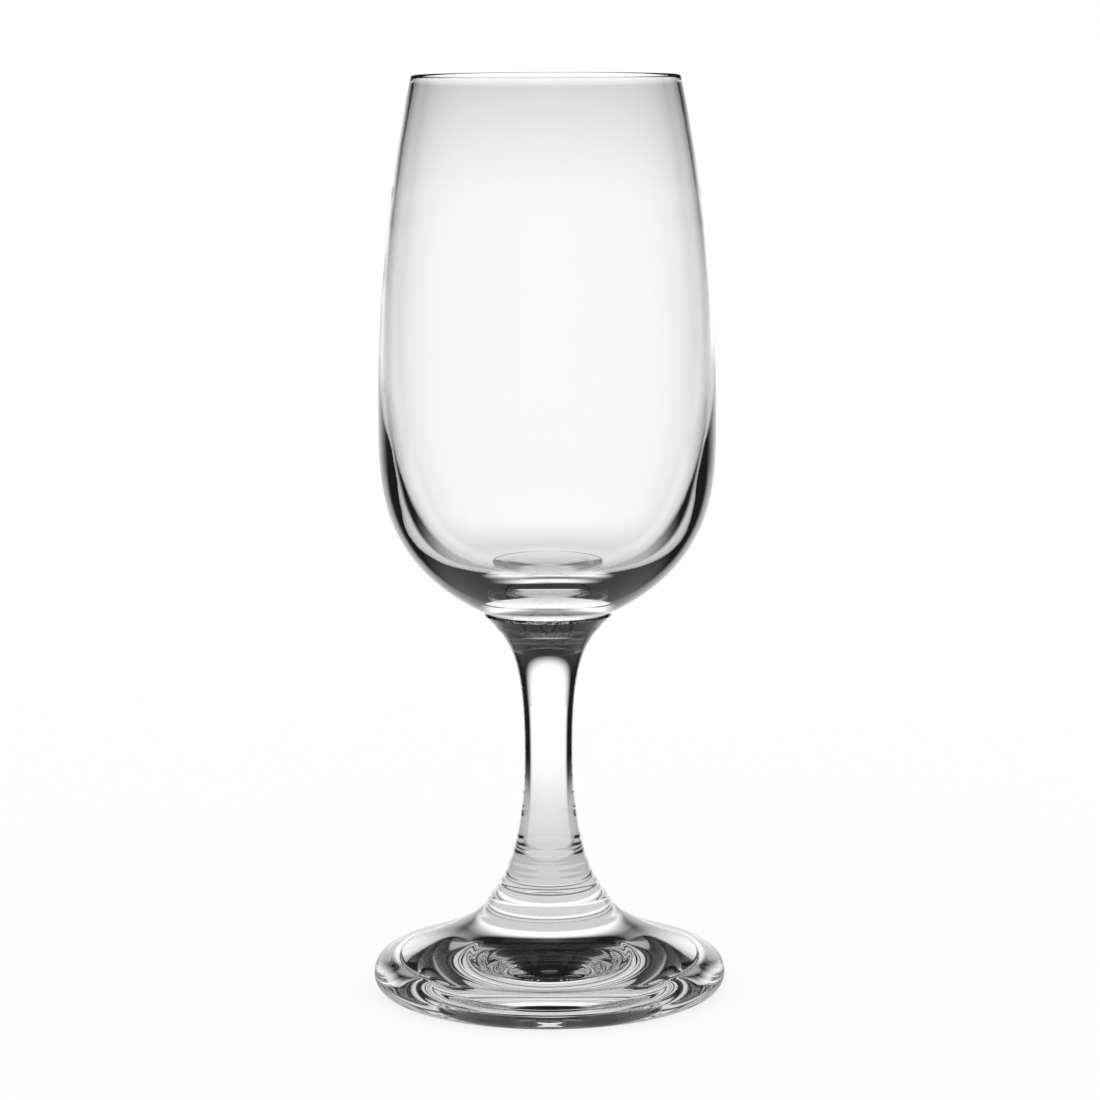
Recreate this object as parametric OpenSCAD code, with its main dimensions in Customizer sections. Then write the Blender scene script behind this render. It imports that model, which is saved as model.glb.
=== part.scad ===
// Stemmed sherry glass of clear glass, in millimetres, standing on its foot with +Z up.
// The origin is the centre of the circle that the foot stands on.
// A blown bowl, a pressed stem and a pressed foot are formed apart and joined hot.

/* [Whole glass] */
// Height from the table to the rim
glass_h = 141; // [130:1:175]

/* [Bowl] */
// Height of the bowl from its lowest point to the rim
bowl_h = 84.5; // [75:0.5:92]
// Width of the bowl across the rim
rim_d = 40.6; // [34:0.2:47]
// Greatest width of the bowl
belly_d = 51.6; // [49:0.2:60]
// Depth below the rim at which the bowl is widest
belly_drop = 52; // [42:0.5:58]
// Thickness of the wall at the rim
rim_wall = 0.7; // [0.5:0.05:1.2]
// Depth below the rim at which the wall starts to thicken
thin_drop = 16; // [8:1:30]
// Thickness of the solid base on the centre line
base_t = 8; // [5:0.2:10]
// How long the outside stays full below the belly
belly_power = 3; // [2.5:0.1:3.5]
// How flat the outside is underneath
underside_power = 1.5; // [1.3:0.1:2]
// How long the inside stays full below the thin part of the wall
hollow_power = 4.8; // [4:0.1:5.6]
// How flat the inside is at its floor
floor_power = 2.6; // [2:0.1:3.2]

/* [Stem] */
// Width of the stem at its waist
waist_d = 7.4; // [5.6:0.1:11]
// How far up the stem its waist lies, as a share of the length between foot and bowl
waist_share = 0.536; // [0.35:0.004:0.65]
// Width of the stem's top, where the bowl sits
crown_d = 19.6; // [15:0.2:24]
// Height of the upright edge round the stem's top
crown_edge_h = 0.3; // [0.1:0.1:1]
// Slope of the flare under that edge, in degrees from upright
crown_angle = 46; // [32:0.5:56]
// Width of the stem's bottom, where it meets the foot's collar
root_d = 18; // [15:0.2:22]
// Slope of the flare at the stem's bottom, in degrees from upright
root_angle = 43; // [32:0.5:54]

/* [Foot] */
// Width of the foot
foot_d = 54.5; // [48:0.5:64]
// Height of the foot's collar, which the stem stands on
collar_h = 14.9; // [13:0.1:17]
// Radius of the rounding on top of the foot's edge
edge_top_r = 2.7; // [1.5:0.1:3.5]
// Radius of the rounding under the foot's edge
edge_low_r = 3.9; // [2:0.1:4.5]
// Slope of the foot's top at its edge, in degrees from level
edge_slope = 16; // [8:0.5:22]
// Width of the flat ring that the foot stands on
ring_w = 1; // [0.6:0.1:3]
// Width of the bevel that leads from that ring up into the hollow underside
bevel_w = 1; // [0.5:0.1:2.5]
// Height of the top of the bevel above the table
bevel_h = 1; // [0.5:0.1:1.5]
// Height of the middle of the hollow underside above the table
hollow_h = 3.1; // [2:0.1:5]
// Slope of the hollow underside where it meets the bevel, in degrees from level
hollow_angle = 11; // [8:0.5:20]

/* [Hidden] */
$fn = 96;
GLASS = [0.86, 0.89, 0.91, 0.4];
rim_r = rim_d / 2;
belly_r = belly_d / 2;
waist_r = waist_d / 2;
crown_r = crown_d / 2;
root_r = root_d / 2;
foot_r = foot_d / 2;
// Heights above the table
seat_z = glass_h - bowl_h;
belly_z = glass_h - belly_drop;
thin_z = glass_h - thin_drop;
floor_z = seat_z + base_t;
waist_z = collar_h + (seat_z - collar_h) * waist_share;
// Radius of the arc that the bowl's side follows from the belly to the rim
side_arc_r = (pow(belly_drop, 2) + pow(belly_r - rim_r, 2)) / (2 * (belly_r - rim_r));
// Half width of the fire-polished rim, which is a half circle
lip_r = rim_wall / 2;
// Angle round the underside at which the stem's top ends
crown_turn = asin(pow(crown_r / belly_r, underside_power / 2));
crown_z = underside(crown_turn)[1];
// Radius and height of the arcs of the foot's edge
edge_r = foot_r - edge_low_r;
edge_top_centre = [foot_r - edge_top_r, edge_low_r];
ring_r = edge_r - ring_w;
hollow_r = ring_r - bevel_w;
// Lengths of the handles of each curve, as shares of its rise or its run
crown_shares = [0.7, 0.255];
root_shares = [0.19, 0.3];
top_shares = [0.22, 0.9];
bevel_share = 0.4;
hollow_shares = [0.55, 0.5];
// Number of steps along each stretch of an outline
side_steps = 24;
curve_steps = 28;
seat_steps = 10;
edge_steps = 8;

// Point at share t of the curve that a list of control points guides
function curve_point(p, t) = len(p) == 1 ? p[0]
    : curve_point([for (i = [1:len(p) - 1]) p[i - 1] + (p[i] - p[i - 1]) * t], t);
function curve(p, steps) = [for (i = [0:steps]) curve_point(p, i / steps)];
function arc(centre, r, from, to, steps) =
    [for (i = [0:steps]) let (a = from + (to - from) * i / steps) centre + r * [cos(a), sin(a)]];
function reversed(p) = [for (i = [len(p) - 1:-1:0]) p[i]];
// Direction that leans out from upright by an angle, up or down
function lean(angle, up) = [sin(angle), up * cos(angle)];

// Radius of the bowl's side at height z, on an arc that is upright at the belly
function side_r(z) = belly_r - side_arc_r + sqrt(pow(side_arc_r, 2) - pow(z - belly_z, 2));
// Point of the bowl's outside below the belly: 0 degrees is the lowest point and 90 the belly
function underside(turn) = [
    belly_r * pow(sin(turn), 2 / underside_power),
    belly_z - (belly_z - seat_z) * pow(cos(turn), 2 / belly_power)
];
// Point of the hollow below the thin part of the wall: 0 degrees is the middle of the floor
function inside(turn) =
    let (z = thin_z - (thin_z - floor_z) * pow(cos(turn), 2 / hollow_power))
    [(side_r(z) - rim_wall) * pow(sin(turn), 2 / floor_power), z];

// Underside of the bowl as far out as the stem's top, which both pieces share
seat = [for (i = [0:seat_steps]) underside(crown_turn * i / seat_steps)];

module turned(outline) {
    color(GLASS)
    rotate_extrude()
    polygon(outline);
}

module bowl() {
    outside = [for (i = [1:curve_steps]) underside(crown_turn + (90 - crown_turn) * i / curve_steps)];
    top_z = glass_h - lip_r;
    outer_side = [for (i = [1:side_steps])
        let (z = belly_z + (top_z - belly_z) * i / side_steps) [side_r(z), z]];
    rim = arc([side_r(top_z) - lip_r, top_z], lip_r, 0, 180, edge_steps);
    inner_side = [for (i = [1:side_steps - 1])
        let (z = top_z + (thin_z - top_z) * i / side_steps) [side_r(z) - rim_wall, z]];
    inner_floor = [for (i = [0:curve_steps]) inside(90 * (1 - i / curve_steps))];
    turned(concat(seat, outside, outer_side, rim, inner_side, inner_floor));
}

module stem() {
    waist = [waist_r, waist_z];
    crown_edge = [crown_r, crown_z - crown_edge_h];
    rise = crown_edge[1] - waist_z;
    crown_flare = curve([
        waist,
        waist + [0, rise * crown_shares[0]],
        crown_edge - lean(crown_angle, 1) * rise * crown_shares[1],
        crown_edge
    ], curve_steps);
    root = [root_r, collar_h];
    drop = waist_z - collar_h;
    root_flare = curve([
        root,
        root - lean(root_angle, -1) * drop * root_shares[1],
        waist - [0, drop * root_shares[0]],
        waist
    ], curve_steps);
    turned(concat([[0, collar_h]], root_flare, [for (i = [1:curve_steps]) crown_flare[i]], reversed(seat)));
}

module foot() {
    root = [root_r, collar_h];
    edge_top = edge_top_centre + edge_top_r * lean(edge_slope, 1);
    run = edge_top[0] - root_r;
    edge_under = arc([edge_r, edge_low_r], edge_low_r, -90, 0, edge_steps);
    edge_over = arc(edge_top_centre, edge_top_r, 0, 90 - edge_slope, edge_steps);
    top = curve([
        edge_top,
        edge_top + run * top_shares[1] * [-cos(edge_slope), sin(edge_slope)],
        root + lean(root_angle, -1) * run * top_shares[0],
        root
    ], curve_steps);
    lip = [hollow_r, bevel_h];
    hollow = curve([
        [0, hollow_h],
        [hollow_r * hollow_shares[0], hollow_h],
        lip + (hollow_h - bevel_h) * hollow_shares[1] * [-1 / tan(hollow_angle), 1],
        lip
    ], curve_steps);
    bevel = curve([
        lip,
        [ring_r - bevel_w * bevel_share, bevel_h],
        [ring_r, 0]
    ], edge_steps);
    turned(concat(
        hollow,
        [for (i = [1:edge_steps]) bevel[i]],
        edge_under,
        [for (i = [1:edge_steps]) edge_over[i]],
        [for (i = [1:curve_steps]) top[i]],
        [[0, collar_h]]
    ));
}

bowl();
stem();
foot();
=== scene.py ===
"""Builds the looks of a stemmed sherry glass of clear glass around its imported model.

The glass stands on the origin with +Z up. Lengths are in metres, and only the lens is given in
millimetres. A piece is drawn as an outline of (radius, height) points, which is spun round the
glass's axis.
"""

import math

import bpy
from mathutils import Matrix, Vector


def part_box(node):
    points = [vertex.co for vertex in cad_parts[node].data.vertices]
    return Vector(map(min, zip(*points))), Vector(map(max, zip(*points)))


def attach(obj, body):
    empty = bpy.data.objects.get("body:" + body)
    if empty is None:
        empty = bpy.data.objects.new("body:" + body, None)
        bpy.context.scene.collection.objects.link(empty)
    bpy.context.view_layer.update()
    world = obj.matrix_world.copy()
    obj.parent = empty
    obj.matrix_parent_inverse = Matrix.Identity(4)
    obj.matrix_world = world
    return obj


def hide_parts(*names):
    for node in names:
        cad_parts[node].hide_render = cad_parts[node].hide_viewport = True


bl_info = {
    "name": "Sherry Glass",
    "version": (1, 0, 0),
    "blender": (4, 5, 0),
    "location": "3D View > Sidebar > Sherry Glass",
    "description": "Adds a blown and pressed sherry glass, piece by piece, and a white set for it",
    "category": "Add Mesh",
}

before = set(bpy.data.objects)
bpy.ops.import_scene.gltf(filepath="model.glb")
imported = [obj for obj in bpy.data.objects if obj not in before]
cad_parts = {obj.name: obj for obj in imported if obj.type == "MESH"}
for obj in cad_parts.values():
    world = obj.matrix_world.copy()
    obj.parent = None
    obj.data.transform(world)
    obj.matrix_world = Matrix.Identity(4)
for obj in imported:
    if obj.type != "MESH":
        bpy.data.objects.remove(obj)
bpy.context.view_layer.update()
BOWL_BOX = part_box("bowl")
STEM_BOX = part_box("stem")
FOOT_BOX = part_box("foot")

BODY = "root"
MM = 0.001
# Distance within which two points or two heights are one
HAIR = 0.001 * MM
QUARTER = math.pi / 2
# A little less than a quarter turn, so that rounding never takes its cosine below zero
ALMOST_QUARTER = QUARTER - 1e-9
WHITE = (1.0, 1.0, 1.0, 1.0)


# How finely the pieces are drawn

# Segments round each piece
ROUND_STEPS = 240
# Steps along a curve before its points are spaced evenly
CURVE_STEPS = 600
# Steps round the rim and round the two roundings of the foot's edge
RIM_STEPS = 12
EDGE_LOW_STEPS = 24
EDGE_TOP_STEPS = 16
# Spacing of the points along each part of an outline
SEAT_SPACING = 0.35 * MM
BEND_SPACING = 0.6 * MM
SIDE_SPACING = 1.0 * MM
ROOT_SPACING = 0.2 * MM
CROWN_SPACING = 0.25 * MM
FOOT_SPACING = 0.3 * MM
BEVEL_SPACING = 0.1 * MM
JOINT_SPACING = 0.5 * MM
# Edges that turn by less than this are smooth
SMOOTH_ANGLE = math.radians(30)


# Details of the shapes and the finish

# Handles of the flare above the waist, from the waist and from its upper end, as shares of its height
WAIST_HANDLE = 0.7
CROWN_HANDLE = 0.255
# Each soft ring has the radius and height of its middle, its rise, and the distance at which it has
# faded to about a third
STEM_RINGS = (
    (6.2 * MM, 19.9 * MM, 0.12 * MM, 0.55 * MM),
    (7.45 * MM, 17.0 * MM, 0.12 * MM, 0.5 * MM),
)
FOOT_RINGS = ((11.1 * MM, 12.4 * MM, 0.12 * MM, 0.7 * MM),)
# Direction in which a ring stands out, as (outwards, up)
RING_PUSH = Vector((0.6, 0.8))
# How upright the normal of a level joint face is at least, and that of a face of the stem's dish
LEVEL = 0.9
DISHED = 0.3
# Shares of their half width between which the chill marks fade, and noise between which a mark rises
CHILL_FADE = (0.3, 1.0)
CHILL_NOISE = (0.4, 0.6)


# Details of the set

SENSOR_WIDTH = 36.0
CLIP_START = 0.01
CLIP_END = 100.0
# Depth of the table of painted light under the floor, so that the two don't lie in one plane
TABLE_DEPTH = 0.1 * MM
# Light is bent and mirrored many times inside the glass
BOUNCES = 32
GLOSSY_BOUNCES = 24


# Settings that a user would change

def length(name, description, default):
    """A size in metres."""
    return bpy.props.FloatProperty(name=name, description=description, default=default, min=0.0,
                                   precision=5, unit="LENGTH")


def number(name, description, default):
    """A plain number, such as a power or a share."""
    return bpy.props.FloatProperty(name=name, description=description, default=default, precision=3)


def slope(name, description, degrees):
    """An angle, with its default in degrees."""
    return bpy.props.FloatProperty(name=name, description=description, default=math.radians(degrees),
                                   subtype="ANGLE", unit="ROTATION")


def colour(name, description, default):
    """A colour without alpha."""
    return bpy.props.FloatVectorProperty(name=name, description=description, default=default, size=3,
                                         min=0.0, max=1.0, subtype="COLOR")


class BowlSizes(bpy.types.PropertyGroup):
    """Sizes of the blown bowl."""
    rim_height: length("Rim height", "Height of the rim above the table", BOWL_BOX[1].z)
    lowest: length("Lowest point", "Height of the bowl's lowest point above the table", BOWL_BOX[0].z)
    rim_width: length("Rim width", "Width of the bowl across the rim", 0.0406)
    belly_width: length("Belly width", "Greatest width of the bowl", 0.0516)
    belly_drop: length("Belly drop", "Depth below the rim at which the bowl is widest", 0.052)
    rim_wall: length("Rim wall", "Thickness of the wall at the rim", 0.00073)
    thin_drop: length("Thin part", "Depth below the rim at which the wall starts to thicken", 0.0173)
    base: length("Base", "Thickness of the solid base round its middle", 0.00817)
    belly_power: number("Belly power", "How long the outside stays full below the belly", 3.0)
    underside_power: number("Underside power", "How flat the outside is underneath", 1.5)
    hollow_power: number("Hollow power", "How long the inside stays full below the thin part", 5.0)
    floor_power: number("Floor power", "How flat the inside is at its floor", 3.12)
    floor_rise: length("Floor rise", "Height of the soft rise in the middle of the floor", 0.00053)
    floor_rise_width: length("Rise width", "Radius at which about a third of that rise is left", 0.0094)


class StemSizes(bpy.types.PropertyGroup):
    """Sizes of the pressed stem."""
    waist_width: length("Waist width", "Width of the stem at its waist", 0.0074)
    waist_height: length("Waist height", "Height of the waist above the table", 0.0372)
    crown_width: length("Crown width", "Width of the stem's top, where the bowl sits", 0.0196)
    crown_edge: length("Crown edge", "Height of the upright edge round the stem's top", 0.0005)
    crown_slope: slope("Crown slope", "Slope of the flare under that edge, from upright", 46)
    root_width: length("Root width", "Width of the stem's bottom", 0.0178)
    root_slope: slope("Root slope", "Slope of the flare at the stem's bottom, from upright", 43)
    root_bend: number("Root bend", "Lower handle of the lower flare, as a share of its height", 0.32)
    waist_bend: number("Waist bend", "Upper handle of the lower flare, as a share of its height", 0.185)


class FootSizes(bpy.types.PropertyGroup):
    """Sizes of the pressed foot."""
    collar: length("Collar", "Height of the collar that the stem stands on", STEM_BOX[0].z)
    edge_top: length("Edge top", "Radius of the rounding on top of the edge", 0.0031)
    edge_low: length("Edge underside", "Radius of the rounding under the edge", 0.0026)
    edge_slope: slope("Edge slope", "Slope of the foot's top at its edge, from level", 18.5)
    ring: length("Standing ring", "Width of the flat ring that the foot stands on", 0.0002)
    bevel: length("Bevel", "Width of the bevel that leads from that ring up into the hollow", 0.0025)
    bevel_top: length("Bevel top", "Height of the top of the bevel above the table", 0.00207)
    bevel_bend: number("Bevel bend", "How far its handle ends from the ring, as a share of its width", 0.46)
    hollow: length("Hollow", "Height of the middle of the hollow underside above the table", 0.00387)
    hollow_slope: slope("Hollow slope", "Slope of the hollow where it meets the bevel, from level", 11.8)
    hollow_flat: number("Hollow flat", "Length of its inner handle, as a share of its radius", 0.59)
    hollow_bend: number("Hollow bend", "Rise of its outer handle, as a share of its height", 0.55)
    top_flat: number("Top flat", "Length of the top's outer handle, as a share of its run", 1.1)
    top_bend: number("Top bend", "Length of the top's inner handle, as a share of its run", 0.12)


class GlassFinish(bpy.types.PropertyGroup):
    """Finish of the glass."""
    tint: colour("Tint", "Colour of the glass", (0.991, 0.987, 0.992))
    ior: number("IOR", "How strongly the glass bends light", 1.52)
    wave_height: length("Wave height", "Height of the soft waves on the surface", 0.00002)
    wave_length: length("Wave length", "Length of those waves", 0.009)
    chill_depth: length("Chill relief", "Relief of the fine marks round the top of the stem", 0.00001)
    chill_roughness: number("Chill roughness", "Roughness of those marks", 0.5)
    chill_grain: length("Chill grain", "Size of those marks", 0.0002)
    chill_height: length("Chill height", "Height of the middle of their band above the table", 0.0569)
    chill_width: length("Chill width", "Half width of their band", 0.0007)


class SetSettings(bpy.types.PropertyGroup):
    """Camera, floor and light of the white set."""
    floor_tint: colour("Floor", "Colour of the floor", (0.95, 0.95, 0.95))
    floor_size: length("Floor size", "Width of the floor", 8.0)
    floor_glow: number("Floor glow", "Share of the floor's white that is its own and takes no shadow", 0.85)
    camera_distance: length("Camera distance", "Distance of the camera from the glass's axis", 0.5681)
    camera_height: length("Camera height", "Height of the camera above the table", 0.1528)
    camera_side: length("Camera side", "How far the camera stands to the right", 0.00035)
    camera_tilt: slope("Camera tilt", "How far the camera looks down", 8.42)
    camera_roll: slope("Camera roll", "How far the camera leans to its right", 0.234)
    camera_lens: number("Lens", "Focal length in millimetres on a 36 mm sensor", 122.6)
    panel_distance: length("Panel distance", "Distance of the bright panel behind the glass", 0.4)
    panel_size: length("Panel size", "Width and height of the panel", 2.0)
    panel_strength: number("Panel", "Strength of the panel where it is brightest, at the table", 1.15)
    glow_width: length("Glow width", "Distance to the side at which most of the glow is gone", 0.296)
    glow_height: length("Glow height", "Height at which most of the glow is gone", 0.155)
    glow_start: number("Glow start", "Share of those distances at which the glow starts to fade", 0.6)
    glow_end: number("Glow end", "Share of those distances at which the glow has faded out", 1.3)
    # The table glows with painted light: a beam of the panel's light from behind and a pool of light round
    # the foot
    table_size: length("Table size", "Width of the lit table", 3.0)
    beam_start: slope("Beam start", "Angle from straight behind where the table's beam starts to fade", 31)
    beam_end: slope("Beam end", "Angle from straight behind where that beam has faded out", 42)
    beam_near: number("Beam near", "Share of the panel's light that the beam has under the glass", 0.6)
    beam_full: length("Beam full", "Distance behind at which the table is as bright as the panel", 0.2)
    pool_strength: number("Pool", "Strength of the pool of light on the table round the foot", 0.55)
    pool_start: length("Pool start", "Distance from the axis at which the pool starts to fade", 0.06)
    pool_end: length("Pool end", "Distance from the axis at which the pool has faded out", 0.13)
    dark: number("Dark room", "Strength of the rest of the room, as the glass shows it", 0.012)


# Outlines

def along(points, share):
    """The point at a share of the curve that a list of control points guides."""
    while len(points) > 1:
        points = [a.lerp(b, share) for a, b in zip(points, points[1:])]
    return points[0]


def curve(points):
    """The curve that a list of control points guides, with its points close together."""
    return [along(points, i / CURVE_STEPS) for i in range(CURVE_STEPS + 1)]


def arc(centre, radius, start, end, steps):
    """Points of a circle between two turns, counted from outwards towards up."""
    turns = [start + (end - start) * i / steps for i in range(steps + 1)]
    return [centre + radius * Vector((math.cos(turn), math.sin(turn))) for turn in turns]


def lean(angle, up):
    """A direction that leans out from upright, up for 1 and down for -1."""
    return Vector((math.sin(angle), up * math.cos(angle)))


def evenly(points, spacing):
    """The same line with its points spaced evenly, at about a spacing, and its ends kept."""
    lengths = [(b - a).length for a, b in zip(points, points[1:])]
    total = sum(lengths)
    count = max(1, round(total / spacing))
    line = [points[0]]
    i = 0
    passed = 0.0
    for step in range(1, count):
        place = total * step / count
        while passed + lengths[i] < place:
            passed += lengths[i]
            i += 1
        line.append(points[i].lerp(points[i + 1], (place - passed) / lengths[i]))
    return line + [points[-1]]


def swept(point, start, end, spacing):
    """Evenly spaced points of a curve that is a function of a turn or a height."""
    steps = CURVE_STEPS
    return evenly([point(start + (end - start) * i / steps) for i in range(steps + 1)], spacing)


def rippled(points, rings):
    """The line pushed outwards in soft rings."""
    line = []
    for point in points:
        push = Vector((0.0, 0.0))
        for radius, height, rise, reach in rings:
            away = (point - Vector((radius, height))).length / reach
            push += RING_PUSH * rise * math.exp(-away * away)
        line.append(point + push)
    return line


class Profile:
    """The outlines of the glass, worked out from the sizes of its three pieces."""

    def __init__(self, scene):
        self.bowl = scene.bowl_sizes
        self.stem = scene.stem_sizes
        self.foot = scene.foot_sizes
        bowl = self.bowl
        self.rim_r = bowl.rim_width / 2
        self.belly_r = bowl.belly_width / 2
        self.belly_z = bowl.rim_height - bowl.belly_drop
        self.thin_z = bowl.rim_height - bowl.thin_drop
        self.floor_z = bowl.lowest + bowl.base
        inset = self.belly_r - self.rim_r
        self.side_arc = (bowl.belly_drop ** 2 + inset ** 2) / (2 * inset)
        self.crown_r = self.stem.crown_width / 2
        self.crown_turn = math.asin((self.crown_r / self.belly_r) ** (bowl.underside_power / 2))
        self.crown_z = self.underside(self.crown_turn).y
        self.root = Vector((self.stem.root_width / 2, self.foot.collar))

    def side(self, z):
        """Radius of the bowl's outside above the belly."""
        return self.belly_r - self.side_arc + math.sqrt(self.side_arc ** 2 - (z - self.belly_z) ** 2)

    def underside(self, turn):
        """Point of the bowl's outside below the belly, from its lowest point to the belly."""
        bowl = self.bowl
        drop = (self.belly_z - bowl.lowest) * math.cos(turn) ** (2 / bowl.belly_power)
        return Vector((self.belly_r * math.sin(turn) ** (2 / bowl.underside_power), self.belly_z - drop))

    def inside(self, turn):
        """Point of the hollow below the thin part of the wall, from the middle of its floor."""
        bowl = self.bowl
        drop = (self.thin_z - self.floor_z) * max(math.cos(turn), 0.0) ** (2 / bowl.hollow_power)
        z = self.thin_z - drop
        radius = (self.side(z) - bowl.rim_wall) * math.sin(turn) ** (2 / bowl.floor_power)
        rise = bowl.floor_rise * math.exp(-(radius / bowl.floor_rise_width) ** 2)
        return Vector((radius, z + rise))

    def seat(self):
        """The bowl's underside as far out as the stem's top, which both pieces share."""
        return swept(self.underside, 0.0, self.crown_turn, SEAT_SPACING)

    def bowl_line(self):
        """From the bowl's lowest point up its outside, over the rim and down to its floor."""
        wall = self.bowl.rim_wall
        lip = wall / 2
        top = self.bowl.rim_height - lip
        flank = swept(self.underside, self.crown_turn, ALMOST_QUARTER, BEND_SPACING)
        outer = swept(lambda z: Vector((self.side(z), z)), self.belly_z, top, SIDE_SPACING)
        rim = arc(Vector((self.side(top) - lip, top)), lip, 0.0, math.pi, RIM_STEPS)
        inner = swept(lambda z: Vector((self.side(z) - wall, z)), top, self.thin_z, SIDE_SPACING)
        hollow = swept(self.inside, QUARTER, 0.0, BEND_SPACING)
        return self.seat() + flank[1:] + outer[1:] + rim[1:] + inner[1:] + hollow[1:]

    def stem_line(self):
        """From the middle of the stem's bottom up its side to the middle of its dished top."""
        stem = self.stem
        waist = Vector((stem.waist_width / 2, stem.waist_height))
        edge = Vector((self.crown_r, self.crown_z - stem.crown_edge))
        rise = edge.y - waist.y
        drop = waist.y - self.root.y
        root = curve([
            self.root,
            self.root - lean(stem.root_slope, -1) * drop * stem.root_bend,
            waist - Vector((0, drop * stem.waist_bend)),
            waist,
        ])
        crown = curve([
            waist,
            waist + Vector((0, rise * WAIST_HANDLE)),
            edge - lean(stem.crown_slope, 1) * rise * CROWN_HANDLE,
            edge,
        ])
        bottom = evenly([Vector((0.0, self.root.y)), self.root], JOINT_SPACING)
        flare = rippled(evenly(root, ROOT_SPACING), STEM_RINGS)
        return bottom + flare[1:] + evenly(crown, CROWN_SPACING)[1:] + self.seat()[::-1]

    def foot_line(self):
        """From the middle of the hollow underside round the edge to the middle of the collar."""
        foot = self.foot
        foot_r = FOOT_BOX[1].x
        edge_r = foot_r - foot.edge_low
        ring_r = edge_r - foot.ring
        lip = Vector((ring_r - foot.bevel, foot.bevel_top))
        rise = foot.hollow - foot.bevel_top
        hollow = curve([
            Vector((0.0, foot.hollow)),
            Vector((lip.x * foot.hollow_flat, foot.hollow)),
            lip + Vector((-1 / math.tan(foot.hollow_slope), 1)) * rise * foot.hollow_bend,
            lip,
        ])
        bevel = curve([
            lip,
            Vector((ring_r - foot.bevel * foot.bevel_bend, foot.bevel_top)),
            Vector((ring_r, 0.0)),
        ])
        top_centre = Vector((foot_r - foot.edge_top, foot.edge_low))
        edge_top = top_centre + foot.edge_top * lean(foot.edge_slope, 1)
        inwards = Vector((-math.cos(foot.edge_slope), math.sin(foot.edge_slope)))
        run = edge_top.x - self.root.x
        top = curve([
            edge_top,
            edge_top + inwards * run * foot.top_flat,
            self.root + lean(self.stem.root_slope, -1) * run * foot.top_bend,
            self.root,
        ])
        below = evenly(hollow, FOOT_SPACING) + evenly(bevel, BEVEL_SPACING)[1:]
        under = arc(Vector((edge_r, foot.edge_low)), foot.edge_low, -QUARTER, 0.0, EDGE_LOW_STEPS)
        over = arc(top_centre, foot.edge_top, 0.0, QUARTER - foot.edge_slope, EDGE_TOP_STEPS)
        above = rippled(evenly(top, FOOT_SPACING), FOOT_RINGS)
        collar = evenly([self.root, Vector((0.0, self.root.y))], JOINT_SPACING)
        return below + under + over[1:] + above[1:] + collar[1:]


# Meshes

def spun(name, line):
    """Spins a line round the glass's axis into a closed, smooth piece."""
    bpy.ops.object.select_all(action="DESELECT")
    bpy.ops.mesh.primitive_plane_add(size=1 * MM, location=(0, 0, 0))
    piece = bpy.context.object
    piece.name = name
    piece.data.name = name
    # The plane becomes one point, which is drawn along the line
    bpy.ops.object.mode_set(mode="EDIT")
    bpy.ops.mesh.select_mode(type="VERT")
    bpy.ops.mesh.merge(type="CENTER")
    bpy.ops.transform.translate(value=(line[0].x, 0, line[0].y))
    for start, end in zip(line, line[1:]):
        step = (end.x - start.x, 0, end.y - start.y)
        bpy.ops.mesh.extrude_region_move(TRANSFORM_OT_translate={"value": step})
    bpy.ops.object.mode_set(mode="OBJECT")
    bpy.ops.object.modifier_add(type="SCREW")
    screw = piece.modifiers[-1]
    screw.steps = ROUND_STEPS
    screw.render_steps = ROUND_STEPS
    bpy.ops.object.modifier_apply(modifier=screw.name)
    bpy.ops.object.mode_set(mode="EDIT")
    bpy.ops.mesh.select_all(action="SELECT")
    bpy.ops.mesh.remove_doubles(threshold=HAIR)
    bpy.ops.mesh.normals_make_consistent(inside=False)
    bpy.ops.object.mode_set(mode="OBJECT")
    bpy.ops.object.shade_smooth_by_angle(angle=SMOOTH_ANGLE)
    return piece


def finish_piece(piece, node, glass, is_joint):
    """Gives a piece its glass and its clear joint faces, and sets it in its node's place."""
    piece.data.materials.append(glass)
    piece.data.materials.append(joint_material())
    for face in piece.data.polygons:
        if is_joint(face.center, face.normal):
            face.material_index = 1
    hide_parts(node)
    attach(piece, BODY)


# Materials

class Value:
    """A socket of a node tree, on which plain arithmetic adds Math nodes."""

    def __init__(self, graph, socket):
        self.graph = graph
        self.socket = socket

    def maths(self, operation, *others):
        """A Math node on this value and on the others that its operation takes."""
        return self.graph.maths(operation, self, *others)

    def __add__(self, other):
        return self.maths("ADD", other)

    def __sub__(self, other):
        return self.maths("SUBTRACT", other)

    def __rsub__(self, other):
        return self.graph.maths("SUBTRACT", other, self)

    def __mul__(self, other):
        return self.maths("MULTIPLY", other)

    def __truediv__(self, other):
        return self.maths("DIVIDE", other)

    __radd__ = __add__
    __rmul__ = __mul__

    def above(self, low, high):
        """0 below low, 1 above high, and a smooth step between them."""
        return self.graph.add("ShaderNodeMapRange", {"interpolation_type": "SMOOTHSTEP"},
                              {"Value": self, "From Min": low, "From Max": high})


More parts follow.
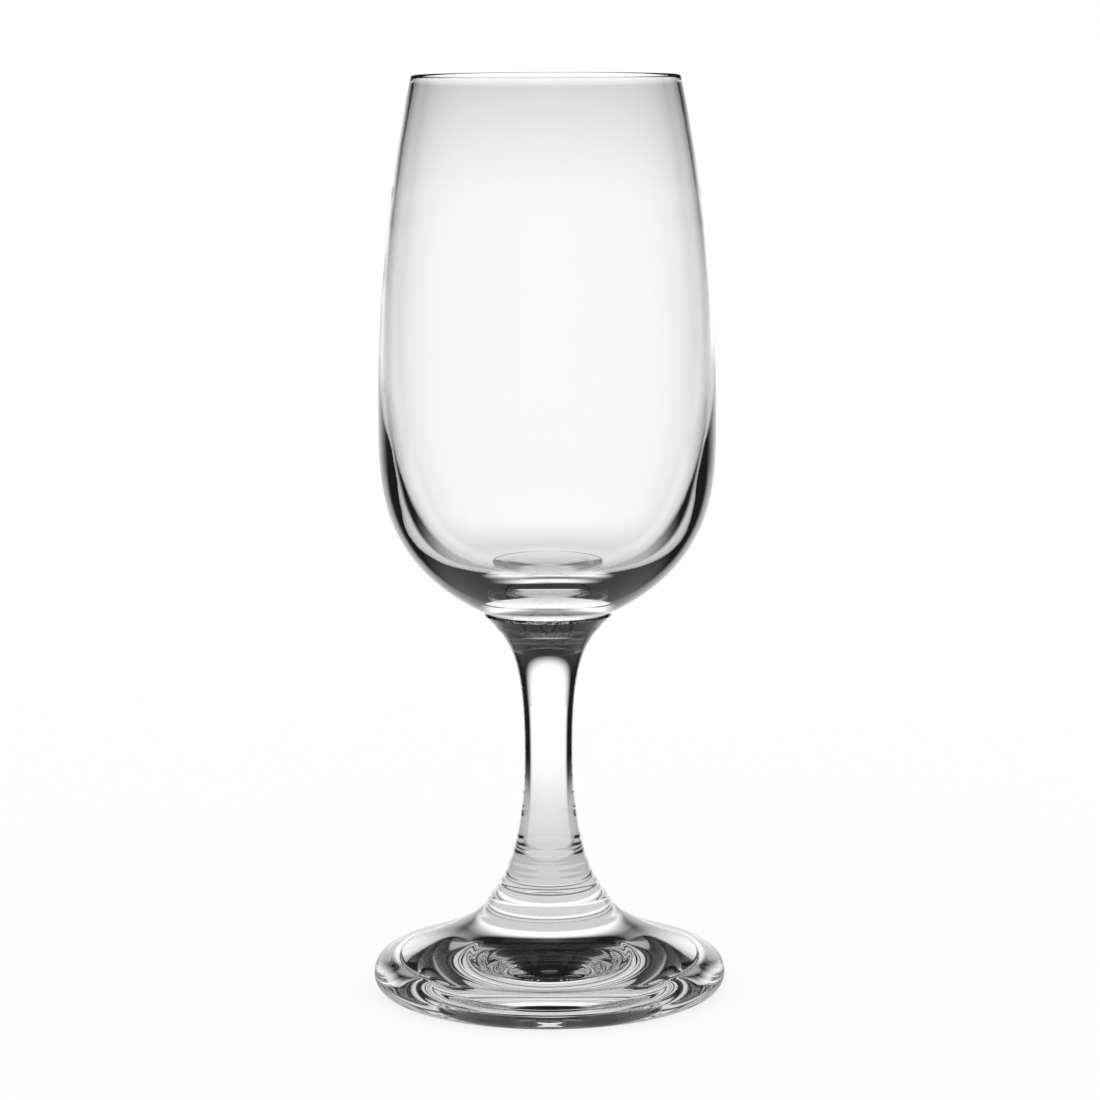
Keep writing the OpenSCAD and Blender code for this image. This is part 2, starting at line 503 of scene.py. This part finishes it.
class Graph:
    """The node tree of a material or of the world."""

    def __init__(self, owner):
        owner.use_nodes = True
        self.tree = owner.node_tree
        self.tree.nodes.clear()

    def node(self, kind, settings=None, sockets=None):
        """Adds a node, with its settings first and then the values or links of its sockets."""
        node = self.tree.nodes.new(kind)
        for name, setting in (settings or {}).items():
            setattr(node, name, setting)
        for key, value in (sockets or {}).items():
            if isinstance(value, Value):
                self.tree.links.new(value.socket, node.inputs[key])
            else:
                node.inputs[key].default_value = value
        return node

    def add(self, kind, settings=None, sockets=None, output=0):
        """Adds a node and gives one of its outputs."""
        return Value(self, self.node(kind, settings, sockets).outputs[output])

    def maths(self, operation, *terms):
        """A Math node on values and numbers."""
        return self.add("ShaderNodeMath", {"operation": operation}, dict(enumerate(terms)))

    def noise(self, place, size):
        """Soft noise between 0 and 1 with waves of a size in metres."""
        return self.add("ShaderNodeTexNoise", None, {"Vector": place, "Scale": 1 / size, "Detail": 1.0})


def glass_material(name, finish, chilled=False):
    """Clear glass with soft waves and, if it is chilled, a band of fine marks."""
    material = bpy.data.materials.new(name)
    graph = Graph(material)
    place = graph.add("ShaderNodeTexCoord", output="Object")
    height = finish.wave_height * graph.noise(place, finish.wave_length)
    roughness = 0.0
    if chilled:
        up = graph.add("ShaderNodeSeparateXYZ", None, {0: place}, output="Z")
        away = (up - finish.chill_height).maths("ABSOLUTE") / finish.chill_width
        spots = graph.noise(place, finish.chill_grain).above(*CHILL_NOISE)
        marks = (1 - away.above(*CHILL_FADE)) * spots
        height = height + finish.chill_depth * marks
        roughness = finish.chill_roughness * marks
    bump = graph.add("ShaderNodeBump", None, {"Strength": 1.0, "Distance": 1.0, "Height": height})
    shader = graph.add("ShaderNodeBsdfPrincipled", None, {
        "Base Color": (*finish.tint, 1.0),
        "Roughness": roughness,
        "IOR": finish.ior,
        "Transmission Weight": 1.0,
        "Normal": bump,
    })
    graph.node("ShaderNodeOutputMaterial", None, {"Surface": shader})
    return material


def joint_material():
    """The face between two fused pieces, which light passes without a bend."""
    material = bpy.data.materials.new("fused_joint")
    graph = Graph(material)
    shader = graph.add("ShaderNodeBsdfPrincipled", None, {"Alpha": 0.0})
    graph.node("ShaderNodeOutputMaterial", None, {"Surface": shader})
    return material


def floor_material(settings):
    """A white floor that keeps a faint shadow."""
    material = bpy.data.materials.new("white_floor")
    graph = Graph(material)
    direct = graph.add("ShaderNodeLightPath", output="Is Camera Ray")
    matt = graph.add("ShaderNodeBsdfDiffuse", None, {"Color": (*settings.floor_tint, 1.0)})
    white = graph.add("ShaderNodeEmission", None, {"Color": WHITE, "Strength": 1.0})
    shader = graph.add("ShaderNodeMixShader", None, {0: direct * settings.floor_glow, 1: matt, 2: white})
    graph.node("ShaderNodeOutputMaterial", None, {"Surface": shader})
    return material


def light_material(name, strength_at):
    """A glow whose strength follows the place, as (x, y, z) from the glass, with the panel along +Y."""
    material = bpy.data.materials.new(name)
    graph = Graph(material)
    place = graph.add("ShaderNodeTexCoord", output="Object")
    parts = graph.node("ShaderNodeSeparateXYZ", None, {0: place}).outputs
    strength = strength_at(*(Value(graph, part) for part in parts))
    shader = graph.add("ShaderNodeEmission", None, {"Color": strength, "Strength": 1.0})
    graph.node("ShaderNodeOutputMaterial", None, {"Surface": shader})
    return material


def panel_material(settings):
    """A bright panel whose glow is an ellipse centred at the table."""
    def strength_at(x, y, z):
        across = x / settings.glow_width
        up = z / settings.glow_height
        away = (across * across + up * up).maths("SQRT")
        glow = settings.panel_strength * (1 - away.above(settings.glow_start, settings.glow_end))
        return glow.maths("MAXIMUM", settings.dark)
    return light_material("bright_panel", strength_at)


def table_material(settings):
    """Painted light on the table: its glow paints the panel's light on it as a beam, and a weaker painted
    pool of light round the foot.
    """
    def strength_at(x, y, z):
        turn = x.maths("ARCTAN2", y)
        behind = 1 - turn.maths("ABSOLUTE").above(settings.beam_start, settings.beam_end)
        away = (x * x + y * y).maths("SQRT")
        spread = settings.beam_near + (1 - settings.beam_near) * away.above(0.0, settings.beam_full)
        # Painted light: the panel's beam and the pool round the foot are painted into the table's own glow
        beam = settings.panel_strength * behind * spread
        pool = settings.pool_strength * (1 - away.above(settings.pool_start, settings.pool_end))
        return beam.maths("MAXIMUM", pool).maths("MAXIMUM", settings.dark)
    return light_material("painted_light_table", strength_at)


# Operators

class GLASS_OT_add_bowl(bpy.types.Operator):
    """Add the blown bowl with its thick base"""
    bl_idname = "glass.add_bowl"
    bl_label = "Add Bowl"

    def execute(self, context):
        profile = Profile(context.scene)

        def on_stem(centre, normal):
            return centre.xy.length < profile.crown_r and centre.z < profile.crown_z

        bowl = spun("bowl_blown", profile.bowl_line())
        glass = glass_material("clear_glass_bowl", context.scene.glass_finish)
        finish_piece(bowl, "bowl", glass, on_stem)
        return {"FINISHED"}


class GLASS_OT_add_stem(bpy.types.Operator):
    """Add the pressed stem"""
    bl_idname = "glass.add_stem"
    bl_label = "Add Stem"

    def execute(self, context):
        profile = Profile(context.scene)
        dish_z = context.scene.bowl_sizes.lowest

        def at_an_end(centre, normal):
            in_dish = centre.z > dish_z and normal.z > DISHED
            return in_dish or normal.z < -LEVEL

        stem = spun("stem_pressed", profile.stem_line())
        glass = glass_material("clear_glass_stem", context.scene.glass_finish, chilled=True)
        finish_piece(stem, "stem", glass, at_an_end)
        return {"FINISHED"}


class GLASS_OT_add_foot(bpy.types.Operator):
    """Add the pressed foot with its hollow underside"""
    bl_idname = "glass.add_foot"
    bl_label = "Add Foot"

    def execute(self, context):
        profile = Profile(context.scene)
        collar_z = context.scene.foot_sizes.collar

        def on_collar(centre, normal):
            return centre.z > collar_z - HAIR and normal.z > LEVEL

        foot = spun("foot_pressed", profile.foot_line())
        glass = glass_material("clear_glass_foot", context.scene.glass_finish)
        finish_piece(foot, "foot", glass, on_collar)
        return {"FINISHED"}


class GLASS_OT_add_white_set(bpy.types.Operator):
    """Add the camera, the white floor and the light"""
    bl_idname = "glass.add_white_set"
    bl_label = "Add White Set"

    def add_camera(self, scene, settings):
        """A camera in front of the glass, which looks slightly down at it."""
        bpy.ops.object.camera_add()
        camera = bpy.context.object
        camera.name = "main_camera"
        camera.data.sensor_width = SENSOR_WIDTH
        camera.data.lens = settings.camera_lens
        camera.data.clip_start = CLIP_START
        camera.data.clip_end = CLIP_END
        stand = (settings.camera_side, -settings.camera_distance, settings.camera_height)
        place = Matrix.Translation(stand)
        tilt = Matrix.Rotation(QUARTER - settings.camera_tilt, 4, "X")
        roll = Matrix.Rotation(-settings.camera_roll, 4, "Z")
        camera.matrix_world = place @ tilt @ roll
        scene.camera = camera
        bpy.context.view_layer.update()
        return camera

    def add_floor(self, settings):
        """A floor that the glass doesn't show, because the table of painted light stands for it there."""
        bpy.ops.object.select_all(action="DESELECT")
        bpy.ops.mesh.primitive_plane_add(size=settings.floor_size, location=(0, 0, 0))
        floor = bpy.context.object
        floor.name = "floor"
        floor.data.materials.append(floor_material(settings))
        floor.visible_glossy = False
        floor.visible_transmission = False

    def light_the_glass(self, name, material, camera):
        """Makes the active object a light that only glass shows, and that turns with the camera's stand."""
        light = bpy.context.object
        light.name = name
        bpy.ops.object.transform_apply(location=True, rotation=True, scale=False)
        light.data.materials.append(material)
        light.visible_camera = False
        light.visible_diffuse = False
        light.visible_shadow = False
        bpy.ops.object.constraint_add(type="LOCKED_TRACK")
        turn = light.constraints[-1]
        turn.target = camera
        turn.track_axis = "TRACK_NEGATIVE_Y"
        turn.lock_axis = "LOCK_Z"

    def add_lights(self, settings, camera):
        """The bright panel behind the glass and, under it, the table that glows with painted light."""
        bpy.ops.object.select_all(action="DESELECT")
        bpy.ops.mesh.primitive_plane_add(size=settings.panel_size, rotation=(QUARTER, 0, 0),
                                         location=(0, settings.panel_distance, settings.panel_size / 2))
        self.light_the_glass("bright_panel", panel_material(settings), camera)
        bpy.ops.object.select_all(action="DESELECT")
        # A table whose glow is painted light, the panel's beam and a pool round the foot
        bpy.ops.mesh.primitive_plane_add(size=settings.table_size, location=(0, 0, -TABLE_DEPTH))
        self.light_the_glass("painted_light_table", table_material(settings), camera)

    def add_world(self, scene, settings):
        """White for the camera and for matt surfaces. Past the panel and the table, glass shows it dark."""
        world = bpy.data.worlds.new("white_studio")
        scene.world = world
        graph = Graph(world)
        rays = graph.node("ShaderNodeLightPath").outputs
        mirrored = Value(graph, rays["Is Glossy Ray"])
        bent = Value(graph, rays["Is Transmission Ray"])
        direct = Value(graph, rays["Is Camera Ray"])
        by_glass = mirrored.maths("MAXIMUM", bent) * (1 - direct)
        light = graph.add("ShaderNodeBackground", None, {
            "Color": 1 - by_glass * (1 - settings.dark),
            "Strength": 1.0,
        })
        graph.node("ShaderNodeOutputWorld", None, {"Surface": light})

    def execute(self, context):
        scene = context.scene
        settings = scene.set_settings
        scene.view_settings.view_transform = "Standard"
        scene.cycles.max_bounces = BOUNCES
        scene.cycles.glossy_bounces = GLOSSY_BOUNCES
        scene.cycles.transmission_bounces = BOUNCES
        scene.cycles.transparent_max_bounces = BOUNCES
        camera = self.add_camera(scene, settings)
        self.add_floor(settings)
        self.add_lights(settings, camera)
        self.add_world(scene, settings)
        return {"FINISHED"}


class VIEW3D_PT_sherry_glass(bpy.types.Panel):
    """Lists the settings of the glass and its set, and the steps that add them"""
    bl_idname = "VIEW3D_PT_sherry_glass"
    bl_label = "Sherry Glass"
    bl_space_type = "VIEW_3D"
    bl_region_type = "UI"
    bl_category = "Sherry Glass"

    def draw(self, context):
        for group in GROUPS:
            settings = getattr(context.scene, group)
            for name in settings.__annotations__:
                self.layout.prop(settings, name)
        for operator in STEPS:
            self.layout.operator(operator)


GROUPS = {
    "bowl_sizes": BowlSizes,
    "stem_sizes": StemSizes,
    "foot_sizes": FootSizes,
    "glass_finish": GlassFinish,
    "set_settings": SetSettings,
}
CLASSES = (
    *GROUPS.values(),
    GLASS_OT_add_white_set,
    GLASS_OT_add_bowl,
    GLASS_OT_add_stem,
    GLASS_OT_add_foot,
    VIEW3D_PT_sherry_glass,
)
STEPS = ("glass.add_white_set", "glass.add_bowl", "glass.add_stem", "glass.add_foot")


def register():
    for cls in CLASSES:
        bpy.utils.register_class(cls)
    for name, group in GROUPS.items():
        setattr(bpy.types.Scene, name, bpy.props.PointerProperty(type=group))


def unregister():
    for name in GROUPS:
        delattr(bpy.types.Scene, name)
    for cls in reversed(CLASSES):
        bpy.utils.unregister_class(cls)


def main():
    register()
    bpy.ops.glass.add_white_set()
    bpy.ops.glass.add_bowl()
    bpy.ops.glass.add_stem()
    bpy.ops.glass.add_foot()


if __name__ == "__main__":
    main()
